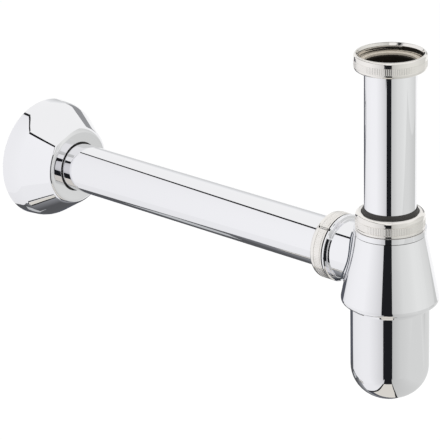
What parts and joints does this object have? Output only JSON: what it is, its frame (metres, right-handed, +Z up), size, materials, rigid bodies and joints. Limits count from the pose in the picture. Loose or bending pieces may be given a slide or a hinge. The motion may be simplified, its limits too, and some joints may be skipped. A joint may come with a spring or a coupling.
{
  "type": "sink trap",
  "caption": "Bottle trap for a basin: coupling nut and inlet tube, conical body with a screw-off round cup, and a long outlet tube with slip nut and a deep sliding wall flange.",
  "frame": {"origin": "on the inlet axis, at the face of the inlet washer inside the coupling nut", "axes": "+Z up along the inlet tube and out of the coupling nut; the outlet tube runs along -X to the wall; +Y completes the right-handed frame"},
  "size_m": [0.3531, 0.0804, 0.2215],
  "materials": {
    "chrome_plate": "polished chrome plate on brass",
    "satin_nickel": "satin nickel plate on brass, knurled band",
    "black_rubber": "moulded black rubber",
    "fibre_washer": "pressed fibre",
    "white_plastic": "moulded white plastic"
  },
  "bodies": {
    "trap_body": {"trap_body": "chrome_plate"},
    "inlet_seal": {"inlet_seal": "black_rubber"},
    "inlet_tube": {"inlet_tube": "chrome_plate", "inlet_washer": "fibre_washer"},
    "inlet_coupling_nut": {"inlet_coupling_nut": "satin_nickel"},
    "inlet_friction_ring": {"inlet_friction_ring": "white_plastic"},
    "inlet_slip_nut": {"inlet_slip_nut": "satin_nickel"},
    "outlet_seal": {"outlet_seal": "black_rubber"},
    "outlet_tube": {"outlet_tube": "chrome_plate"},
    "outlet_friction_ring": {"outlet_friction_ring": "white_plastic"},
    "outlet_slip_nut": {"outlet_slip_nut": "satin_nickel"},
    "cup_gasket": {"cup_gasket": "black_rubber"},
    "cup": {"cup": "chrome_plate"},
    "flange_grip_ring": {"flange_grip_ring": "black_rubber"},
    "wall_flange": {"wall_flange": "chrome_plate"}
  },
  "joints": [
    {"name": "inlet_swivel", "type": "hinge", "parent": "trap_body", "child": "inlet_seal", "pos_m": [0, 0, -0.1], "axis": [0, 0, 1], "continuous": true},
    {"name": "inlet_height", "type": "slide", "parent": "inlet_seal", "child": "inlet_tube", "axis": [0, 0, 1], "range_m": [-0.015, 0.025]},
    {"name": "coupling_nut_turn", "type": "hinge", "parent": "inlet_tube", "child": "inlet_coupling_nut", "pos_m": [0, 0, 0], "axis": [0, 0, 1], "continuous": true},
    {"name": "inlet_slip_rise", "type": "slide", "parent": "trap_body", "child": "inlet_friction_ring", "axis": [0, 0, 1], "range_m": [0, 0.005]},
    {"name": "inlet_slip_turn", "type": "hinge", "parent": "inlet_friction_ring", "child": "inlet_slip_nut", "pos_m": [0, 0, -0.1], "axis": [0, 0, 1], "range_deg": [0, 901]},
    {"name": "outlet_swivel", "type": "hinge", "parent": "trap_body", "child": "outlet_seal", "pos_m": [-0.04, 0, -0.128], "axis": [-1, 0, 0], "continuous": true},
    {"name": "outlet_reach", "type": "slide", "parent": "outlet_seal", "child": "outlet_tube", "axis": [-1, 0, 0], "range_m": [-0.001, 0.009]},
    {"name": "outlet_slip_draw", "type": "slide", "parent": "trap_body", "child": "outlet_friction_ring", "axis": [-1, 0, 0], "range_m": [0, 0.005]},
    {"name": "outlet_slip_turn", "type": "hinge", "parent": "outlet_friction_ring", "child": "outlet_slip_nut", "pos_m": [-0.04, 0, -0.128], "axis": [-1, 0, 0], "range_deg": [0, 901]},
    {"name": "cup_lower", "type": "slide", "parent": "trap_body", "child": "cup_gasket", "axis": [0, 0, -1], "range_m": [0, 0.007]},
    {"name": "cup_turn", "type": "hinge", "parent": "cup_gasket", "child": "cup", "pos_m": [0, 0, -0.15], "axis": [0, 0, -1], "range_deg": [0, 1261]},
    {"name": "flange_slide", "type": "slide", "parent": "outlet_tube", "child": "flange_grip_ring", "axis": [1, 0, 0], "range_m": [-0.01, 0.2]},
    {"name": "flange_turn", "type": "hinge", "parent": "flange_grip_ring", "child": "wall_flange", "pos_m": [-0.28, 0, -0.128], "axis": [-1, 0, 0], "continuous": true}
  ],
  "couplings": [
    {"joint": "inlet_slip_turn", "follows": "inlet_slip_rise", "rad_per_m": 3141.6},
    {"joint": "outlet_slip_turn", "follows": "outlet_slip_draw", "rad_per_m": 3141.6},
    {"joint": "cup_turn", "follows": "cup_lower", "rad_per_m": 3141.6}
  ]
}
